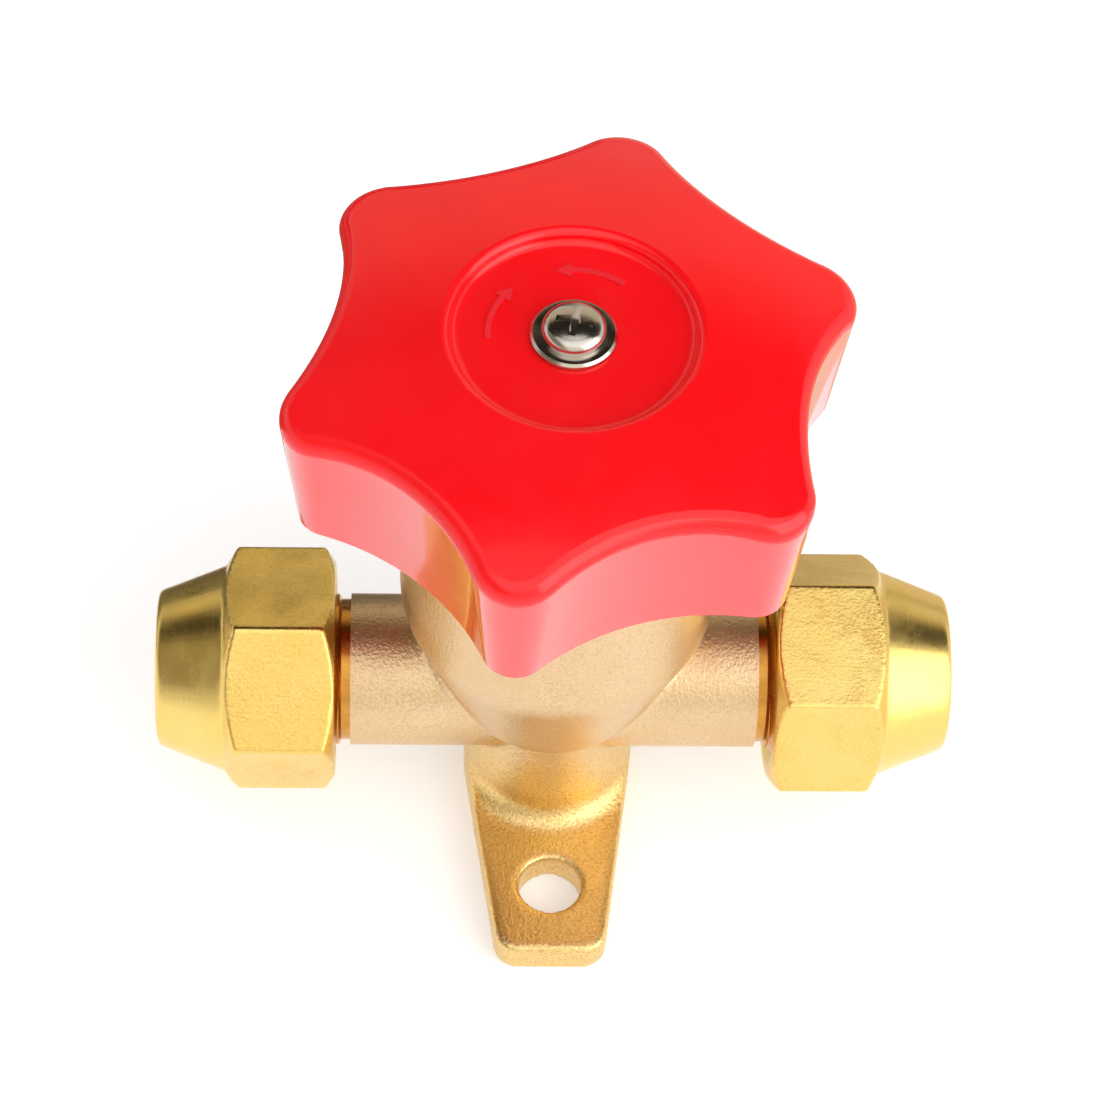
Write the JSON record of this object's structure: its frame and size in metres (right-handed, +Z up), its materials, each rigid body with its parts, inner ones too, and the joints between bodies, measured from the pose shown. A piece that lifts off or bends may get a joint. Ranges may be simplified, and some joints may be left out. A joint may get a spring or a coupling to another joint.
{
  "type": "refrigerant service valve",
  "caption": "Hand shut-off valve for refrigerant lines: forged brass body with opposed flare ends, a foot with a hole, and a lobed handwheel on a rising spindle.",
  "frame": {"origin": "on the foot's base, under the spindle's axis", "axes": "+Z up the spindle, X along the two ports with the outlet on +X, the foot points to -Y"},
  "size_m": [0.0882, 0.0596, 0.0824],
  "materials": {
    "forged_brass": "satin",
    "nut_brass": "satin",
    "turned_brass": "turned",
    "sheet_steel": "brushed",
    "bright_steel": "polished",
    "plated_steel": "plated",
    "seat_plastic": "matte",
    "seal_rubber": "matte",
    "red_plastic": "gloss"
  },
  "bodies": {
    "valve": {"valve_body": "forged_brass", "bonnet": "turned_brass", "slip_ring": "turned_brass", "diaphragm_lower": "sheet_steel", "diaphragm_middle": "sheet_steel", "diaphragm_upper": "sheet_steel", "return_spring": "sheet_steel"},
    "lower_stem": {"thrust_pad": "turned_brass", "thrust_ball": "bright_steel", "disc_carrier": "turned_brass", "seat_disc": "seat_plastic", "disc_washer": "bright_steel", "disc_screw": "bright_steel"},
    "wheel_and_spindle": {"spindle": "turned_brass", "spindle_seal_ring": "seal_rubber", "handwheel": "red_plastic", "plain_washer": "plated_steel", "handwheel_screw": "plated_steel"},
    "inlet_nut": {"flare_nut_inlet": "nut_brass"},
    "outlet_nut": {"flare_nut_outlet": "nut_brass"}
  },
  "joints": [
    {"name": "spindle_lift", "type": "slide", "parent": "valve", "child": "lower_stem", "axis": [0, 0, 1], "range_m": [0, 0.0025], "deforming": ["return_spring", "diaphragm_lower", "diaphragm_middle", "diaphragm_upper"]},
    {"name": "handwheel_turn", "type": "hinge", "parent": "lower_stem", "child": "wheel_and_spindle", "pos_m": [0, 0, 0.07], "axis": [0, 0, 1], "range_deg": [0, 720]},
    {"name": "inlet_nut_turn", "type": "hinge", "parent": "valve", "child": "inlet_nut", "pos_m": [-0.0307, 0, 0.02], "axis": [-1, 0, 0], "range_deg": [-360, 360]},
    {"name": "outlet_nut_turn", "type": "hinge", "parent": "valve", "child": "outlet_nut", "pos_m": [0.0307, 0, 0.02], "axis": [1, 0, 0], "range_deg": [-360, 360]}
  ],
  "couplings": [
    {"joint": "spindle_lift", "follows": "handwheel_turn", "m_per_rad": 0.00019894}
  ]
}
